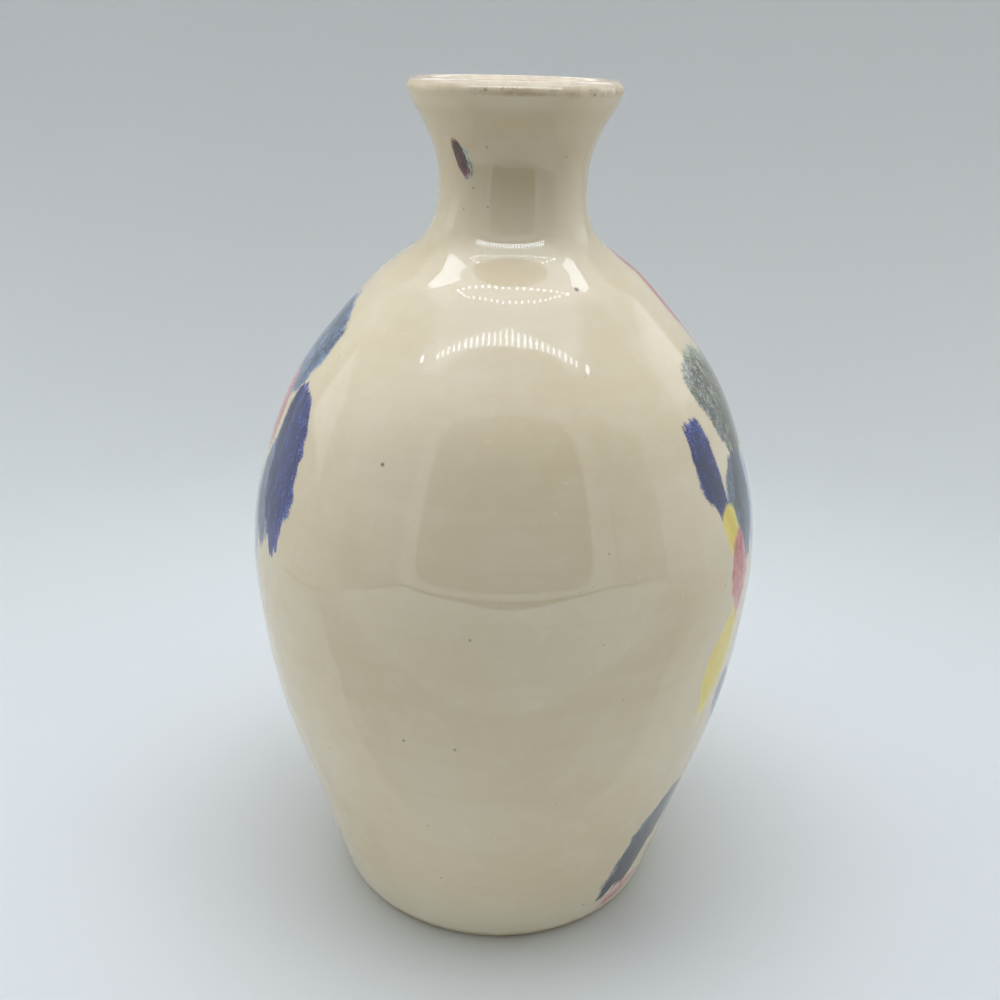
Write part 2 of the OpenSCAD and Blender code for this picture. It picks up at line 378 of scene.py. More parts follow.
def cream(t, mm):
    """Colour, roughness and bump height of the bare cream glaze at mm, its place in millimetres. The colour also holds
    some painted shade on the lip's crest and the neck's flare, and painted light towards the foot.
    """
    sep = t.node("ShaderNodeSeparateXYZ")
    t.put(sep.inputs[0], mm)
    x, y, z = sep.outputs
    cloud = t.noise(mm, 0.022, 3, 0.55)
    mottle = t.noise(mm, 0.19, 4, 0.6)
    bands = t.noise(t.vec("MULTIPLY", mm, (0.012, 0.012, 0.42)), 1.0, 3, 0.55)
    c = t.mix(t.ramp(cloud, 0.34, 0.68), srgb(218, 201, 170), srgb(212, 193, 158))
    c = t.mix(t.mul(t.ramp(mottle, 0.42, 0.72), 0.20), c, srgb(226, 213, 188))
    c = t.mix(t.mul(t.ramp(bands, 0.40, 0.75), 0.12), c, srgb(200, 180, 144))
    # fine iron specks: each cell of a scatter may hold one small ball, and the surface cuts it
    cells = t.node("ShaderNodeTexVoronoi", voronoi_dimensions="3D", feature="F1")
    t.put(cells.inputs["Vector"], mm)
    cells.inputs["Scale"].default_value = 0.36
    pick = t.node("ShaderNodeSeparateColor")
    t.put(pick.inputs[0], cells.outputs["Color"])
    size = t.ramp(pick.outputs[1], 0.0, 1.0, 0.05, 0.15, "LINEAR")
    fine = t.mul(t.ramp(t.math("DIVIDE", cells.outputs["Distance"], size), 1.0, 0.45), t.ramp(pick.outputs[0], 0.90, 0.93))
    c = t.mix(t.mul(fine, t.ramp(pick.outputs[2], 0, 1, 0.25, 0.6, "LINEAR")), c, srgb(112, 98, 76))
    # pin-point pale bubbles
    c = t.mix(t.mul(t.ramp(t.noise(mm, 1.1, 1, 0.5), 0.72, 0.80), 0.25), c, srgb(244, 240, 228))
    spots = None
    for phi, h, radius, strength in SPECKS:
        d = t.vec("DISTANCE", mm, on_vase(phi, h))
        s = t.ramp(d, radius * 1.15, radius * 0.35, 0.0, strength)
        spots = s if spots is None else t.math("MAXIMUM", spots, s)
    c = t.mix(spots, c, srgb(74, 72, 66))
    # the glaze runs thin over the edge of the lip and at the foot line, and the clay warms it
    rag = t.noise(mm, 0.30, 3, 0.6)
    pit = t.noise(mm, 1.25, 2, 0.6)
    lip = t.mul(t.ramp(z, 211.4, 212.6), t.ramp(z, 214.4, 213.3))
    worn = t.ramp(x, -20.0, 8.0, 0.35, 1.0)
    lip_tone = t.mul(t.mul(lip, worn), t.ramp(rag, 0.40, 0.64, 0.10, 0.60))
    c = t.mix(lip_tone, c, srgb(180, 152, 116))
    c = t.mix(t.mul(t.mul(lip, worn), t.mul(t.ramp(pit, 0.58, 0.66, 0.0, 0.75), t.ramp(rag, 0.40, 0.58))), c, srgb(112, 88, 66))
    # the crest of the lip is toned darker: partly the glaze thinning over the rim, partly painted shade that dims its
    # lit top
    crest = t.mul(t.ramp(z, 213.4, 214.8), t.ramp(rag, 0.36, 0.70, 0.50, 0.85))
    c = t.mix(crest, c, srgb(168, 149, 128))
    # painted shade: the flare of the neck, under the overhanging lip, is toned darker and browner
    flare_painted_shade = t.mul(t.ramp(z, 184.0, 197.0), t.ramp(z, 211.0, 208.0))
    c = t.mix(t.mul(flare_painted_shade, 0.52), c, srgb(196, 176, 140))
    # painted light: the cream turns paler towards the foot, brightening the low belly that faces the floor
    c = t.mix(t.ramp(z, 24.0, 2.0, 0.0, 0.45), c, srgb(240, 234, 214))
    foot = t.mul(t.ramp(z, 3.4, 1.5), t.ramp(rag, 0.35, 0.65, 0.35, 0.8))
    c = t.mix(foot, c, srgb(188, 166, 128))
    rough = t.ramp(mottle, 0.3, 0.75, 0.025, 0.045, "LINEAR")
    height = t.add(t.mul(cloud, 0.5), t.add(t.mul(t.noise(mm, 0.11, 2, 0.5), 1.0), t.mul(spots, -0.25)))
    return c, rough, height


def glaze(name, coats=()):
    """The cream glaze, with the brushed coats that lie on this piece painted into it."""
    t = Tree(name)
    place = t.node("ShaderNodeTexCoord").outputs["Object"]
    mm = t.vec("SCALE", place, 1 / MM)
    c, rough, height = cream(t, mm)
    if coats:
        fine = t.add(t.ramp(t.noise(mm, 2.3, 2, 0.6), 0.34, 0.66, -0.5, 0.5, "LINEAR"), t.ramp(t.noise(mm, 4.6, 1, 0.5), 0.32, 0.68, -0.25, 0.25, "LINEAR"))
        drawn = t.ramp(t.noise(t.vec("MULTIPLY", mm, (1.0, 1.0, 0.17)), 1.9, 3, 0.65), 0.36, 0.64, -0.5, 0.5, "LINEAR")
        clump = t.ramp(t.noise(t.vec("MULTIPLY", mm, (1.0, 1.0, 0.45)), 0.42, 2, 0.6), 0.34, 0.66, -0.5, 0.5, "LINEAR")
    for coat in coats:
        pale, middle, dark, cover, edge, tone, run, _ = COATS[coat]
        at = t.node("ShaderNodeAttribute", attribute_type="GEOMETRY", attribute_name="coat_" + coat)
        sep = t.node("ShaderNodeSeparateXYZ")
        t.put(sep.inputs[0], at.outputs["Vector"])
        density, thick, _ = sep.outputs
        grain = t.add(t.mul(fine, 1 - 0.8 * run), t.mul(drawn, run))
        m = t.add(density, t.mul(grain, edge))
        m = t.mul(t.ramp(m, 0.16, 0.80, 0.0, cover), t.ramp(density, 0.02, 0.24))
        depth = t.add(t.add(t.mul(density, 0.20), t.mul(thick, 0.80)), t.add(t.mul(grain, tone), t.mul(clump, tone * 0.5)))
        colour = t.mix(t.ramp(depth, 0.08, 0.54), pale, middle)
        colour = t.mix(t.ramp(depth, 0.50, 1.05), colour, dark)
        c = t.mix(m, c, colour)
        rough = t.add(rough, t.mul(m, 0.02))
    return t.surface(c, rough, t.bump(height, 0.00003))


def clay_material():
    """Bare fired stoneware: buff, sandy, with turning lines and a little soot in the grooves."""
    t = Tree("clay_bare")
    place = t.node("ShaderNodeTexCoord").outputs["Object"]
    mm = t.vec("SCALE", place, 1 / MM)
    cloud = t.noise(mm, 0.05, 3, 0.55)
    sand = t.noise(mm, 1.4, 3, 0.65)
    grog = t.noise(mm, 0.55, 2, 0.6)
    c = t.mix(t.ramp(cloud, 0.32, 0.70), srgb(222, 206, 176), srgb(204, 183, 148))
    c = t.mix(t.mul(t.ramp(sand, 0.45, 0.75), 0.35), c, srgb(234, 222, 198))
    c = t.mix(t.mul(t.ramp(grog, 0.62, 0.74), 0.45), c, srgb(158, 132, 98))
    c = t.mix(t.mul(t.ramp(t.noise(mm, 0.9, 1, 0.5), 0.70, 0.76), 0.6), c, srgb(96, 76, 56))
    rough = t.ramp(sand, 0.3, 0.7, 0.72, 0.9, "LINEAR")
    height = t.add(t.mul(sand, 0.7), t.mul(grog, 0.6))
    return t.surface(c, rough, t.bump(height, 0.00012))


# ------------------------------------------------------------------ brush marks

# turn from the front towards +X, height, length, width, lean (anticlockwise seen from outside), and how heavily
# the brush was loaded; later colours lie over earlier ones
MARKS = {
    "lavender": [[-76, 106, 36, 16, 12, 0.1], [77, 112, 36, 14, 6, 0], [97, 72, 34, 13, 8, 0], [182, 62, 36, 14, 6, 0],
                 [276, 72, 32, 12, -8, 0], [222, 116, 26, 10, 14, 0]],
    "olive": [[76, 142, 29, 36, -18, 0.1], [192, 128, 42, 24, -10, 0], [250, 62, 38, 18, 10, 0.1], [-33, 197, 9, 2.6, 14, -0.1]],
    "slate": [[-80, 153, 26, 26, -6, 0.05], [-68, 119, 30, 12, 12, 0.1], [66, 121, 26, 18, 4, 0.35], [66, 62, 30, 9, 20, 0.2],
              [49, 26, 40, 14, -28, 0.5], [126, 142, 36, 18, 16, 0], [202, 92, 38, 15, -22, 0.1],
              [236, 150, 34, 18, -8, 0]],
    "cobalt": [[-61, 128, 38, 19, 6, 0.05], [53, 131, 26, 10, 16, 0.2], [106, 112, 40, 18, -12, 0], [170, 136, 44, 20, 12, 0.1],
               [158, 50, 34, 14, 16, 0], [258, 108, 40, 18, -14, 0.1]],
    "yellow": [[58, 117, 14, 8, 8, 0.2], [55, 83, 34, 10, -22, 0.1], [132, 104, 34, 12, -16, 0.1],
               [160, 94, 30, 12, 18, 0], [210, 54, 32, 12, -18, 0.1], [238, 90, 30, 12, 12, 0]],
    "rose": [[-80, 138, 20, 12, 10, 0.1], [92, 164, 26, 14, -12, 0.1], [61, 105, 22, 10, 2, 0.15], [116, 78, 34, 15, 12, 0],
             [182, 98, 30, 16, -4, 0.1], [246, 122, 30, 14, 10, 0], [268, 38, 28, 12, 18, 0], [46, 7, 16, 5, -70, -0.5]],
    "maroon": [[-40, 198, 9, 3, 18, 0.5]],
}
NODES = {"lavender": "lavender_marks", "slate": "slate_marks", "olive": "olive_marks", "rose": "rose_marks",
         "yellow": "yellow_marks", "cobalt": "cobalt_marks", "maroon": "neck_touch"}
MARGIN = 3.0


def lattice(ix, iy, seed):
    """Seeded value from 0 to 1 at each point of a square lattice."""
    n = (ix.astype(np.int64) * 374761393 + iy.astype(np.int64) * 668265263 + int(seed) * 974634777) & 0xFFFFFFFF
    n = ((n ^ (n >> 13)) * 1274126177) & 0xFFFFFFFF
    n = ((n ^ (n >> 16)) * 2246822519) & 0xFFFFFFFF
    return ((n ^ (n >> 13)) & 0xFFFFFF) / float(0xFFFFFF)


def wander(x, y, seed):
    """Smooth value noise from 0 to 1."""
    ix, iy = np.floor(x), np.floor(y)
    fx, fy = x - ix, y - iy
    fx, fy = fx * fx * (3 - 2 * fx), fy * fy * (3 - 2 * fy)
    a, b = lattice(ix, iy, seed), lattice(ix + 1, iy, seed)
    c, d = lattice(ix, iy + 1, seed), lattice(ix + 1, iy + 1, seed)
    return (a * (1 - fx) + b * fx) * (1 - fy) + (c * (1 - fx) + d * fx) * fy


def half_width(t, w):
    return w / 2 * np.sin(math.pi * np.clip(t, 0, 1) ** 0.8) ** 0.55


def leaf(l, w):
    """Outline of a mark in its own plane, y along the stroke, as a closed ring of points."""
    t = 0.5 - 0.5 * np.cos(np.linspace(0, math.pi, 70))
    h, y = half_width(t, w), l / 2 - t * l
    return np.concatenate([np.stack([h, y], -1), np.stack([-h, y], -1)[::-1][1:-1]])


def depth_in(x, y, l, w):
    """Distance inside a mark's outline, mm, negative outside."""
    ring = leaf(l, w)
    a, b = ring, np.roll(ring, -1, axis=0)
    best = np.full(x.shape, 1e9)
    for p, q in zip(a, b):
        d = q - p
        s = np.clip(((x - p[0]) * d[0] + (y - p[1]) * d[1]) / max(d @ d, 1e-12), 0, 1)
        best = np.minimum(best, np.hypot(x - p[0] - s * d[0], y - p[1] - s * d[1]))
    t = (l / 2 - y) / l
    inside = (t > 0) & (t < 1) & (np.abs(x) < half_width(t, w))
    return np.where(inside, best, -best)


def local(mark, phi, z):
    """A place on the outside in a mark's own plane, and whether it is on the mark's side of the pot."""
    turn, z0, _, _, lean, _ = mark
    d = phi - math.radians(turn)
    u, v = outer(np.clip(z, 0, JOIN_Z)) * np.sin(d), z - z0
    a = math.radians(lean)
    return math.cos(a) * u + math.sin(a) * v, -math.sin(a) * u + math.cos(a) * v, np.cos(d) > 0.2


def pigment(coat, mark, seed, x, y):
    """How much of a mark's colour lies at (x, y), 0 to 1, and how thick it lies there, 0 to 1."""
    _, _, l, w, _, load = mark
    d = depth_in(x, y, l, w)
    t = (l / 2 - y) / l
    size = min(1.0, w / 11)
    ox, oy = 17.3 * seed, 9.1 * seed
    wob = (wander(x * 0.13 + ox, y * 0.13 + oy, 3) - 0.5) * 3.6 * size + (wander(x * 0.42 + ox, y * 0.42 + oy, 5) - 0.5) * 1.2 * size
    hair = wander(x * 0.5 + ox, y * 0.035 + oy, 7) * 0.6 + wander(x * 1.25 + ox, y * 0.09 + oy, 8) * 0.4
    tail, head = smooth(t, 0.68, 1.0), smooth(t, 0.18, -0.02)
    edge = d + wob + (hair - 0.55) * (tail * 9.0 + head * 3.0) * size
    soft = COATS[coat][7] * min(1.0, max(0.7, w / 6))
    lane = wander(x * 0.55 + ox, y * 0.035 + oy, 11) * 0.6 + wander(x * 1.5 + ox, y * 0.09 + oy, 12) * 0.4
    # the colour pools towards one side and one end of the stroke
    one = np.array([float(seed)])
    across, along = (float(lattice(one, one * 0 + k, 21)[0]) * 2 - 1 for k in (1, 2))
    pool = 0.5 + 0.40 * across * np.clip(2 * x / w, -1, 1) + 0.40 * along * np.clip(2 * t - 1, -1, 1)
    thick = np.clip(0.72 * pool + 0.50 * (lane - 0.5) + 0.22 * smooth(edge, 0, 3.0) + load - (tail + head) * (0.7 if w < 4 else 0.1), 0, 1.2)
    return smooth(edge, -soft, soft * 1.2) * smooth(d, -MARGIN * 0.95, -MARGIN * 0.4), thick


def patch(mark):
    """A mark's own grid: leaf-shaped rows, a little larger than the mark, as (phi, z, x, y, rise) and faces."""
    turn, z0, l, w, lean, _ = mark
    L, W = l + 2 * MARGIN, w + 2 * MARGIN
    rows, cols = max(24, round(L / 0.5)), max(14, round(W / 0.55))
    cols += cols % 2
    q = np.linspace(0, 1, rows + 1)
    t = 0.55 * q + 0.45 * (0.5 - 0.5 * np.cos(math.pi * q))
    s = np.linspace(-1, 1, cols + 1)
    y = (L / 2 - t * L)[1:-1, None] + 0 * s[None]
    x = half_width(t[1:-1, None], W) * s[None]
    y, x = np.concatenate([[L / 2], y.ravel(), [-L / 2]]), np.concatenate([[0], x.ravel(), [0]])
    a = math.radians(lean)
    u, v = math.cos(a) * x - math.sin(a) * y, math.sin(a) * x + math.cos(a) * y
    z = np.clip(z0 + v, GLAZE_EDGE + 0.35, JOIN_Z - 0.2)
    r = outer(z)
    phi = math.radians(turn) + np.arcsin(np.clip(u / r, -0.98, 0.98))
    gap = np.maximum(depth_in(x, y, L, W), 0)
    gap[0] = gap[-1] = 0
    ring = np.zeros(len(x), bool)
    ring[0] = ring[-1] = True
    n = cols + 1
    ring[1 : 1 + n * (rows - 1) : n] = True
    ring[n : 1 + n * (rows - 1) : n] = True
    faces = []
    at = lambda i, j: 1 + i * n + j
    for j in range(cols):
        faces.append((0, at(0, j), at(0, j + 1)))
        for i in range(rows - 2):
            faces.append((at(i, j), at(i + 1, j), at(i + 1, j + 1), at(i, j + 1)))
        faces.append((at(rows - 2, j), len(x) - 1, at(rows - 2, j + 1)))
    return phi, z, x, y, gap, ring, faces


def brush(coat):
    """All marks of one colour as one piece: thin closed shells that rise out of the glaze."""
    verts, faces, uvs, places = [], [], [], []
    marks = MARKS[coat]
    across = math.ceil(math.sqrt(len(marks)))
    down = math.ceil(len(marks) / across)
    layer = list(MARKS).index(coat)
    for k, mark in enumerate(marks):
        phi, z, x, y, gap, ring, top = patch(mark)
        slope = outer(z, True)
        nrm = np.sqrt(1 + slope * slope)
        base_r = outer(z) + thrown(phi, z)

        def shell(rise):
            r, h = base_r + rise / nrm, z - rise * slope / nrm
            return np.stack([r * np.sin(phi), -r * np.cos(phi), h], -1)

        up = shell(-0.01 + (0.018 + 0.004 * layer) * smooth(gap, 0, 2.6))
        under = shell(-0.01 - 0.12 * smooth(gap, 0, 0.9))
        start = sum(len(v) for v in verts)
        inner = np.nonzero(~ring)[0]
        below = np.arange(len(x))
        below[inner] = len(x) + np.arange(len(inner))
        verts += [up, under[inner]]
        places += [(phi, z), (phi[inner], z[inner])]
        # the map: a cell for each mark, and a thin strip for the hidden undersides
        L, W = mark[2] + 2 * MARGIN, mark[3] + 2 * MARGIN
        cx, cy = (k % across + 0.5) / across, (k // across + 0.5) / down * 0.94
        uu = cx + x / W * 0.94 / across
        vv = cy + y / L * 0.94 * 0.94 / down
        hu, hv = (k + 0.5 + x / W * 0.9) / len(marks), 0.97 + y / L * 0.02
        for f in top:
            faces.append(tuple(start + i for i in f))
            uvs += [(uu[i], vv[i]) for i in f]
        for f in top:
            g = f[::-1]
            faces.append(tuple(int(start + below[i]) for i in g))
            uvs += [(hu[i], hv[i]) for i in g]
    verts = np.concatenate(verts)
    phi = np.concatenate([p[0] for p in places])
    z = np.concatenate([p[1] for p in places])
    fields = {}
    seed = 0
    for name, rows in MARKS.items():
        best = np.zeros((len(phi), 3), np.float32)
        for mark in rows:
            seed += 1
            x, y, near = local(mark, phi, z)
            near &= (np.abs(y) < mark[2] / 2 + MARGIN) & (np.abs(x) < mark[3] / 2 + MARGIN)
            if not near.any():
                continue
            p, s = pigment(name, mark, seed, x[near], y[near])
            old = best[near]
            take = p > old[:, 0]
            old[take, 0], old[take, 1] = p[take], s[take]
            best[near] = old
        if best[:, 0].max() > 0.02:
            fields[name] = best
    ob = mesh("brush_" + coat, verts, faces, uvs, glaze("glaze_" + coat, list(fields)))
    for name, values in fields.items():
        a = ob.data.attributes.new("coat_" + name, "FLOAT_VECTOR", "POINT")
        a.data.foreach_set("vector", values.ravel())
    return ob


# ------------------------------------------------------------------ the pot

TURNS = 288
cream_out = glaze("glaze_cream")
cream_in = glaze("glaze_liner_cream")
clay = clay_material()

# outer coat: rolled edge at the foot line, outside, lip, then back down along the clay
foot_z = GLAZE_EDGE
roll = []
for a in np.radians(np.linspace(-90, 0, 8)):
    # a quarter-round from the clay out to the finished surface
    t = GLAZE * (1 - math.cos(a))
    q = inset(np.array(foot_z + 0.55 * (1 + math.sin(a))), t)
    roll.append(q)
roll = np.array(roll)
fn = lambda z: np.stack([outer(z), z], -1)
side = fn(even(fn, foot_z + 0.55, JOIN_Z, 0.98))[1:]
lip = bead(BEAD, -30, 90, 30)[1:]
back_lip = bead(BEAD - GLAZE, 90, -30, 8)
fn = lambda z: inset(z, GLAZE)
back = fn(even(fn, JOIN_Z - 0.2, foot_z + 0.25, 5.0))
path = np.concatenate([roll, side, lip, back_lip, back])
n_out = len(roll) + len(side) + len(lip)


def move_out(phi, r, z):
    return thrown(phi, z) * (1 - smooth(z, 208, 211)), 0 * r * phi


v = vspan(np.concatenate([path, path[:1]]), [(0, 0.0), (n_out - 1, 0.94), (n_out, 0.945), (len(path), 1.0)])
glaze_outer = revolve("glaze_outer", path, TURNS, cream_out, move_out, v, loop=True, sharp=55)

# liner: along the clay from the floor's middle to the crest, then down the finished inside
inside = inner_path()
clay_in = offset(inside, GLAZE)
clay_in[0] = (BEAD_R, HEIGHT - GLAZE)
clay_in[-1] = (0, FLOOR_T)
clay_in = clay_in[::-1]


def move_in(phi, r, z):
    return rings_inside(phi, z) + 0 * r, 0.10 * np.sin(TAU * r / 5.2 - phi) * smooth(z, 11, 9) * smooth(r, 1, 5) * smooth(r, 44, 34) * np.ones_like(phi)


coarse = np.unique(np.concatenate([np.arange(0, len(clay_in), 3), [len(clay_in) - 1]]))
path = np.concatenate([clay_in[coarse], inside])
m = len(coarse)
v = vspan(path, [(0, 0.0), (m - 1, 0.05), (m, 0.055), (len(path) - 1, 1.0)])
glaze_liner = revolve("glaze_liner", path, 224, cream_in, move_in, v, poles=(True, True), sharp=55)

# clay: hollow under the foot, foot ring, outside, lip, inside
ceiling = np.stack([np.linspace(0, 33.6, 60), np.full(60, 3.0)], -1)
a = np.radians(np.linspace(90, 0, 8))
hollow = np.stack([33.6 + 1.4 * np.cos(a), 1.6 + 1.4 * np.sin(a)], -1)[1:]
throat_edge = np.array([[35.0, 1.0], [35.04, 0.62], [35.2, 0.3], [35.42, 0.1], [35.75, 0.01]])
ring = np.array([[r, 0.0] for r in np.linspace(36.2, 43.2, 15)])
shoulder = np.array([[43.7, 0.03], [44.05, 0.13], [44.32, 0.32], [44.48, 0.58]])
fn = lambda z: inset(z, GLAZE)
climb = fn(even(fn, 0.95, JOIN_Z - 0.2, 2.2))
path = np.concatenate([ceiling, hollow, throat_edge, ring, shoulder, climb, bead(BEAD - GLAZE, -30, 90, 10)[1:], clay_in[::-1][1:]])
n_under = len(ceiling) + len(hollow) + len(throat_edge) + len(ring)


def move_clay(phi, r, z):
    under = (z > 2.9) & (r < 33.7) & (z < 3.3)
    inner = np.zeros(r.shape[-1], bool)
    inner[-len(clay_in) + 1 :] = True
    dr_in, dz_in = move_in(phi, r, z)
    dr = np.where(inner[None], dr_in, thrown(phi, z) * smooth(z, 1.0, 6.0) * (1 - smooth(z, 208, 211)) * ~under)
    dz = np.where(inner[None], dz_in, np.where(under, trimmed(phi, r), 0.0))
    return dr, dz


v = vspan(path, [(0, 0.0), (n_under - 1, 0.60), (n_under + len(shoulder) + 2, 0.72), (len(path) - 1, 1.0)])
clay_pot = revolve("clay_pot", path, 192, clay, move_clay, v, poles=(True, True))

for piece, node, slot in ((clay_pot, "clay_body", "clay"), (glaze_outer, "outer_glaze", "outer_glaze"), (glaze_liner, "liner_glaze", "liner_glaze")):
    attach(piece, "root")
    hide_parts(node)

for coat in MARKS:
    piece = brush(coat)
    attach(piece, "root")
    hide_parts(NODES[coat])


# ------------------------------------------------------------------ stage, light, camera

def paper_with_painted_wall_shade(name, low, high, rough):
    """Matte paper: one tone on the floor, and a darker one up the wall that is painted shade."""
    t = Tree(name)
    place = t.node("ShaderNodeTexCoord").outputs["Object"]
    sep = t.node("ShaderNodeSeparateXYZ")
    t.put(sep.inputs[0], place)
    # painted shade: the paper darkens from the floor tone to the wall tone as it rises
    c = t.mix(t.ramp(sep.outputs[2], 0.0, 0.25), low, high)
    c = t.mix(t.mul(t.ramp(t.noise(place, 2.5, 2, 0.5), 0.3, 0.7), 0.03), c, (0.2, 0.2, 0.2, 1))
    return t.surface(c, rough, t.bump(t.noise(place, 900.0, 2, 0.5), 0.00003))


def glow(name, colour, strength):
    t = Tree(name)
    e = t.node("ShaderNodeEmission")
    e.inputs[0].default_value = (*colour, 1)
    e.inputs[1].default_value = strength
    o = t.node("ShaderNodeOutputMaterial")
    t.t.links.new(e.outputs[0], o.inputs[0])
    return t.mat


def stage_mesh(name, verts, faces, material, soft=False):
    me = bpy.data.meshes.new(name)
    me.from_pydata(verts, [], faces)
    if soft:
        me.shade_smooth()
    me.materials.append(material)
    ob = bpy.data.objects.new(name, me)
    bpy.context.scene.collection.objects.link(ob)
    return ob


def lamp(name, verts, faces, colour, light=None, mirror=None):
    """A glowing sheet that the camera doesn't see: its colour and strength as it lights the pot, and its strength as
    the glaze mirrors it."""
    for end, strength in (("", light), ("_card", mirror)):
        if strength is not None:
            ob = stage_mesh(name + end, verts, faces, glow(name + end, WHITE if end else colour, strength))
            ob.visible_camera = ob.visible_shadow = False
            if end:
                ob.visible_diffuse = False
            else:
                ob.visible_glossy = False


def sheet(name, corners, colour, light=None, mirror=None):
    lamp(name, corners, [tuple(range(len(corners)))], colour, light, mirror)


# strength of each lamp: as light, and as it mirrors in the glaze
TOP_L, FORE_L, BOARD_L, WORLD_L = (0.75, 0.80), (1.15, 0.76), (4.60, 1.62), 0.02
LEFT_L, RIGHT_L, FRONT_L, FLANK_L, LOW_L, GROUND_L = (1.04, 0.66), (0.84, 0.79), 0.62, 0.42, (1.05, 0.90), (0.98, 0.98)
BAR_L, STREAK_L, BEAD_L, GLOW_L, SHEEN_L, CREST_L, SEAM_L = 3.9, 2.0, 6.5, 2.3, 1.25, 2.0, 0.12

# a round cove: flat floor that curves up into a wall. Its front part is only there for the camera of other views
profile = [(0.0, 0.0), (0.12, 0.0), (0.25, 0.0), (0.36, 0.0)]
for a in np.radians(np.linspace(0, 90, 25))[1:]:
    profile.append((0.36 + 0.30 * math.sin(a), 0.30 * (1 - math.cos(a))))
profile.append((0.66, 0.6))
profile.append((0.66, 1.1))
seg = 96


def turned(name, rows, j0, j1, material):
    """A part of the cove from segment j0 to j1, counted from the front towards +X."""
    verts, faces = [], []
    whole = j1 - j0 == seg
    count = seg if whole else j1 - j0 + 1
    for r, z in rows:
        verts += [(r * math.sin(TAU * (j0 + j) / seg), -r * math.cos(TAU * (j0 + j) / seg), z) for j in range(count)]
    for i in range(len(rows) - 1):
        for j in range(j1 - j0):
            k = (j + 1) % count
            faces.append((i * count + j, i * count + k, (i + 1) * count + k, (i + 1) * count + j))
    return stage_mesh(name, verts, faces, material, soft=True)


paper = paper_with_painted_wall_shade("paper", (0.655, 0.648, 0.624, 1), (0.610, 0.605, 0.594, 1), 0.85)
turned("stage_floor", [(0.0005, 0.0)] + profile[1:6], 0, seg, paper)
turned("stage_wall", profile[5:], 17, seg - 17, paper)
front_wall = turned("stage_front", profile[5:], -17, 17, paper)
front_wall.visible_diffuse = front_wall.visible_glossy = front_wall.visible_shadow = False

WHITE, WARM, COOL = (0.91, 1.0, 1.09), (0.92, 1.0, 0.98), (0.92, 1.0, 1.19)
# ceiling sheet in two parts
sheet("light_top", [(-0.46, -0.06, 0.62), (-0.46, 0.40, 0.62), (0.46, 0.40, 0.62), (0.46, -0.06, 0.62)], WARM, *TOP_L)
sheet("light_fore", [(-0.46, -0.33, 0.62), (-0.46, -0.06, 0.62), (0.46, -0.06, 0.62), (0.46, -0.33, 0.62)], WARM, *FORE_L)
# a lit board under it with a bright bar behind each end, and rows of small lamps on the board
sheet("light_board", [(-0.255, -0.17, 0.53), (-0.255, 0.15, 0.53), (0.24, 0.15, 0.53), (0.24, -0.17, 0.53)], COOL, *BOARD_L)
for k, (x0, x1, share) in enumerate(((-0.285, -0.255, 0.82), (-0.315, -0.285, 0.65), (0.24, 0.27, 0.82), (0.27, 0.30, 0.65))):
    sheet("board_end_%d" % k, [(x0, -0.17, 0.531), (x0, 0.15, 0.531), (x1, 0.15, 0.531), (x1, -0.17, 0.531)], WHITE, None, BOARD_L[1] * share)
plate = lambda rows: [(x, y, 0.525) for x, y in rows]
sheet("light_bar_a", plate([(-0.255, 0.106), (-0.264, 0.148), (-0.226, 0.172), (-0.203, 0.158), (-0.183, 0.134), (-0.163, 0.110), (-0.142, 0.075), (-0.197, 0.085)]), WHITE, None, BAR_L)
sheet("light_bar_b", plate([(0.242, 0.090), (0.180, 0.092), (0.186, 0.122), (0.202, 0.149), (0.226, 0.175), (0.242, 0.154), (0.248, 0.126)]), WHITE, None, BAR_L)
sheet("light_streak_a", plate([(-0.290, 0.154), (-0.351, 0.149), (-0.438, 0.119), (-0.438, 0.111), (-0.351, 0.141), (-0.290, 0.146)]), WHITE, None, STREAK_L)
sheet("light_streak_b", plate([(0.290, 0.152), (0.356, 0.121), (0.438, 0.108), (0.438, 0.100), (0.356, 0.113), (0.290, 0.144)]), WHITE, None, STREAK_L)
# rows of small lamps: their line, then width and length of each lamp
rows = [([(-0.241, -0.135), (-0.169, -0.151), (-0.109, -0.161), (-0.052, -0.168), (-0.008, -0.171), (0.044, -0.171), (0.098, -0.165), (0.160, -0.155), (0.204, -0.148), (0.238, -0.144)], 0.007, 0.013),
        ([(-0.153, 0.020), (-0.137, -0.027), (-0.093, -0.046), (-0.051, -0.066), (-0.015, -0.078), (0.032, -0.078), (0.079, -0.066), (0.121, -0.036), (0.161, 0.008)], 0.007, 0.018),
        ([(-0.155, 0.029), (-0.117, 0.028), (-0.079, 0.019), (-0.047, 0.011), (-0.014, 0.006), (0.033, 0.007), (0.081, 0.011), (0.130, 0.023), (0.178, 0.031)], 0.008, 0.013)]
spots = [(-0.300, -0.105, 0.016, 0.016), (0.278, -0.134, 0.016, 0.016), (0.178, 0.031, 0.014, 0.018)]
for row, wide, long in rows:
    row = np.array(row)
    along = np.concatenate([[0], np.cumsum(np.hypot(*np.diff(row, axis=0).T))])
    for q in np.arange(0, along[-1], 0.020):
        spots.append((float(np.interp(q, along, row[:, 0])), float(np.interp(q, along, row[:, 1])), wide, long))
verts, faces = [], []
for x, y, wide, long in spots:
    i = len(verts)
    verts += [(x - wide / 2, y - long / 2, 0.52), (x - wide / 2, y + long / 2, 0.52), (x + wide / 2, y + long / 2, 0.52), (x + wide / 2, y - long / 2, 0.52)]
    faces.append((i, i + 1, i + 2, i + 3))
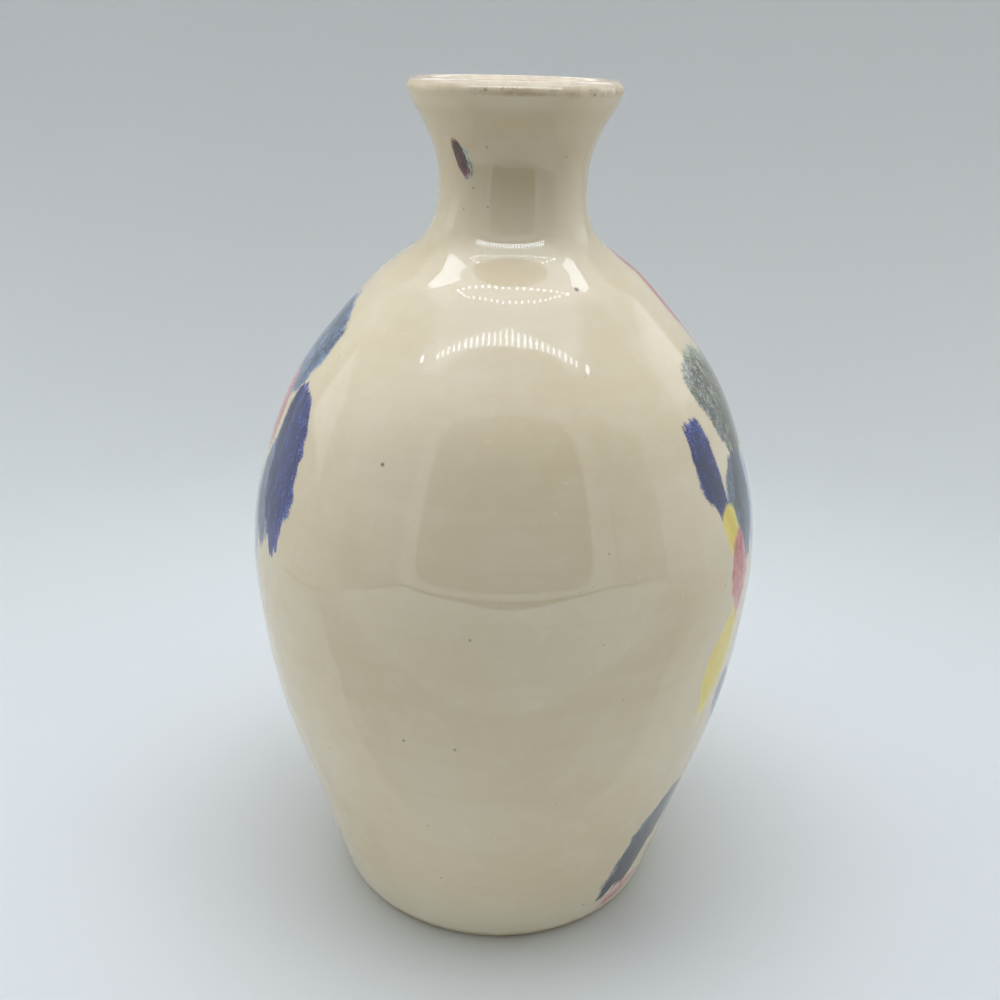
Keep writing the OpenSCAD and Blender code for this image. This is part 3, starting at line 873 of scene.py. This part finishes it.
# slats that stand under the first row, in line with the shoulder, so that only the neck's root mirrors them broadside
row = np.array(rows[0][0])
foot_row = np.array([(-0.103, -0.077), (-0.072, -0.082), (-0.046, -0.085), (-0.021, -0.088), (-0.003, -0.089), (0.018, -0.089), (0.041, -0.087), (0.068, -0.084), (0.087, -0.082), (0.102, -0.081)])
lamp("light_beads", verts, faces, (1.0, 1.0, 1.0), None, BEAD_L)
verts, faces = [], []
along = np.concatenate([[0], np.cumsum(np.hypot(*np.diff(row, axis=0).T))])
for q in np.arange(0, along[-1], 0.020):
    high, low = (np.array([np.interp(q, along, line[:, k]) for k in (0, 1)]) for line in (row, foot_row))
    i = len(verts)
    for z in (0.26, 0.40):
        share = (z - 0.30) / 0.22
        x, y = (low + (high - low) * share).tolist()
        half = 0.0022 + 0.0033 * share
        verts += [(x - half, y, z), (x + half, y, z)]
    faces.append((i, i + 1, i + 3, i + 2))
lamp("light_slats", verts, faces, (1.0, 1.0, 1.0), None, BEAD_L * 1.4)
# a glow along the first row
verts = [(x, y + h, 0.5205) for x, y in rows[0][0] for h in (-0.008, 0.008)]
lamp("light_glow", verts, [(k, k + 1, k + 3, k + 2) for k in range(0, len(verts) - 2, 2)], WHITE, None, GLOW_L)
# side sheets
for x, name, strength in ((-0.44, "light_left", LEFT_L), (0.44, "light_right", RIGHT_L)):
    sheet(name, [(x, -0.31, 0.005), (x, 0.36, 0.005), (x, 0.36, 0.615), (x, -0.31, 0.615)], WARM, *strength)
# paler parts of the side sheets, mirrored on the shoulders
sheet("sheen_left", [(-0.437, -0.02, 0.15), (-0.437, 0.16, 0.22), (-0.437, 0.20, 0.40), (-0.437, 0.04, 0.34)], WHITE, None, SHEEN_L)
sheet("sheen_right", [(0.437, 0.08, 0.28), (0.437, 0.36, 0.26), (0.437, 0.36, 0.44), (0.437, 0.10, 0.45)], WHITE, None, SHEEN_L)


def rounded(y, box, radius, n=9):
    x0, x1, z0, z1 = box
    out = []
    for cx, cz, a0 in ((x1 - radius, z1 - radius, 0), (x0 + radius, z1 - radius, 90), (x0 + radius, z0 + radius, 180), (x1 - radius, z0 + radius, 270)):
        for a in np.radians(np.linspace(a0, a0 + 90, n)):
            out.append((cx + radius * math.cos(a), y, cz + radius * math.sin(a)))
    return out


def frame_sheet(name, y, box, hole, radius, light, mirror):
    rim, gap = rounded(y, box, 0.004), rounded(y, hole, radius)
    n = len(rim)
    lamp(name, rim + gap, [(i, (i + 1) % n, n + (i + 1) % n, n + i) for i in range(n)], WHITE, light, mirror)


def upright(name, y, box, light, mirror):
    x0, x1, z0, z1 = box
    sheet(name, [(x0, y, z0), (x0, y, z1), (x1, y, z1), (x1, y, z0)], WHITE, light, mirror)


# low light from the front, under the camera
upright("light_low", -0.315, (-0.44, 0.44, 0.004, 0.081), LOW_L[0], None)
# what the glaze mirrors in front: a framed round-cornered opening, flanks beside it, and a cloth under a narrow gap
frame_sheet("front", -0.175, (-0.139, 0.160, 0.0985, 0.361), (-0.106, 0.111, 0.106, 0.306), 0.028, None, FRONT_L)
face = lambda rows: [(x, -0.175, z) for x, z in rows]
sheet("flank_left", face([(-0.1425, 0.361), (-0.1425, 0.0925), (-0.24, 0.0585), (-0.346, 0.0205), (-0.40, 0.004), (-0.44, 0.004), (-0.44, 0.361)]), WHITE, None, FLANK_L)
sheet("flank_right", face([(0.1635, 0.361), (0.1635, 0.0955), (0.198, 0.0881), (0.30, 0.0655), (0.44, 0.04), (0.44, 0.361)]), WHITE, None, FLANK_L)
hem = np.array([(-0.40, 0.0035), (-0.346, 0.0157), (-0.24, 0.0549), (-0.149, 0.0886), (-0.123, 0.0965), (-0.082, 0.0945), (-0.047, 0.095), (-0.029, 0.0925), (0.012, 0.0895), (0.035, 0.0918), (0.072, 0.0938), (0.109, 0.0955), (0.146, 0.095), (0.198, 0.0846), (0.30, 0.0616), (0.44, 0.036)])
hem = [(x, float(np.interp(x, *hem.T)) + 0.0005 * math.sin(163 * x + 1)) for x in np.linspace(-0.40, 0.44, 90).tolist()]
sheet("cloth", face([(0.44, 0.003), (-0.40, 0.003)] + hem), WHITE, None, LOW_L[1])
# the gap under the flanks goes on along the floor at the left and low on the sheet at the right
seams = [[(-0.304, 0.085), (-0.299, 0.083)], [(-0.320, 0.041), (-0.313, 0.039)], [(-0.327, -0.023), (-0.319, -0.023)], [(-0.346, -0.074), (-0.337, -0.073)], [(-0.364, -0.121), (-0.354, -0.118)]]
verts = [(x, y, 0.003) for row in seams for x, y in row]
verts += [(0.436, y, z + h) for y, z in ((-0.175, 0.034), (-0.146, 0.023), (-0.075, 0.013), (-0.014, 0.008)) for h in (0.004, 0.0)]
lamp("seam", verts, [(k, k + 1, k + 3, k + 2) for k in (0, 2, 4, 6, 10, 12, 14)], WHITE, None, SEAM_L)
# a bright strip high behind the pot, mirrored along the crest of the lip
sheet("crest", [(-0.30, 0.42, 0.45), (-0.30, 0.42, 0.61), (0.30, 0.42, 0.61), (0.30, 0.42, 0.45)], WHITE, None, CREST_L)
# bright ground between the pot and the camera, out of the picture
ground = lambda y: [(-0.44, -0.31, 0.0015), (0.44, -0.31, 0.0015), (0.44, y, 0.0015), (-0.44, y, 0.0015)]
sheet("light_ground", ground(-0.14), WHITE, GROUND_L[0], None)
for k, (y0, y1, share) in enumerate(((-0.14, -0.12, 0.94), (-0.12, -0.105, 0.91), (-0.105, -0.09, 0.89), (-0.09, -0.08, 0.87))):
    sheet("light_ground_%d" % k, [(-0.44, y0, 0.0015), (0.44, y0, 0.0015), (0.44, y1, 0.0015), (-0.44, y1, 0.0015)], WHITE, GROUND_L[0] * share, None)
sheet("ground", ground(-0.15), WHITE, None, GROUND_L[1])
# its near part fades out towards the pot
for k, (y0, y1, share) in enumerate(((-0.15, -0.125, 0.74), (-0.125, -0.10, 0.66), (-0.10, -0.08, 0.60), (-0.08, -0.065, 0.54))):
    sheet("ground_%d" % k, [(-0.44, y0, 0.0015), (0.44, y0, 0.0015), (0.44, y1, 0.0015), (-0.44, y1, 0.0015)], WHITE, None, GROUND_L[1] * share)

world = bpy.data.worlds.new("soft_sky")
bpy.context.scene.world = world
world.use_nodes = True
world.node_tree.nodes["Background"].inputs[0].default_value = (1.0, 0.86, 0.70, 1)
world.node_tree.nodes["Background"].inputs[1].default_value = WORLD_L

# camera: 23 degrees down on the pot, rolled a little clockwise with the photo's lean
cam_data = bpy.data.cameras.new("camera")
cam_data.lens, cam_data.sensor_width, cam_data.sensor_fit = 38.88, 36.0, "AUTO"
cam_data.clip_start, cam_data.clip_end = 0.01, 20
cam = bpy.data.objects.new("camera", cam_data)
bpy.context.scene.collection.objects.link(cam)
p, roll_a = math.radians(22.88), math.radians(1.42)
right, up, ahead = Vector((1, 0, 0)), Vector((0, math.sin(p), math.cos(p))), Vector((0, math.cos(p), -math.sin(p)))
cx, cy = math.cos(roll_a) * right + math.sin(roll_a) * up, -math.sin(roll_a) * right + math.cos(roll_a) * up
m = Matrix((cx, cy, -ahead)).transposed().to_4x4()
m.translation = Vector((-1.18, -267.3, 222.0)) * MM
cam.matrix_world = m
bpy.context.scene.camera = cam

bpy.context.scene.view_settings.view_transform = "Standard"
bpy.context.scene.view_settings.look = "None"
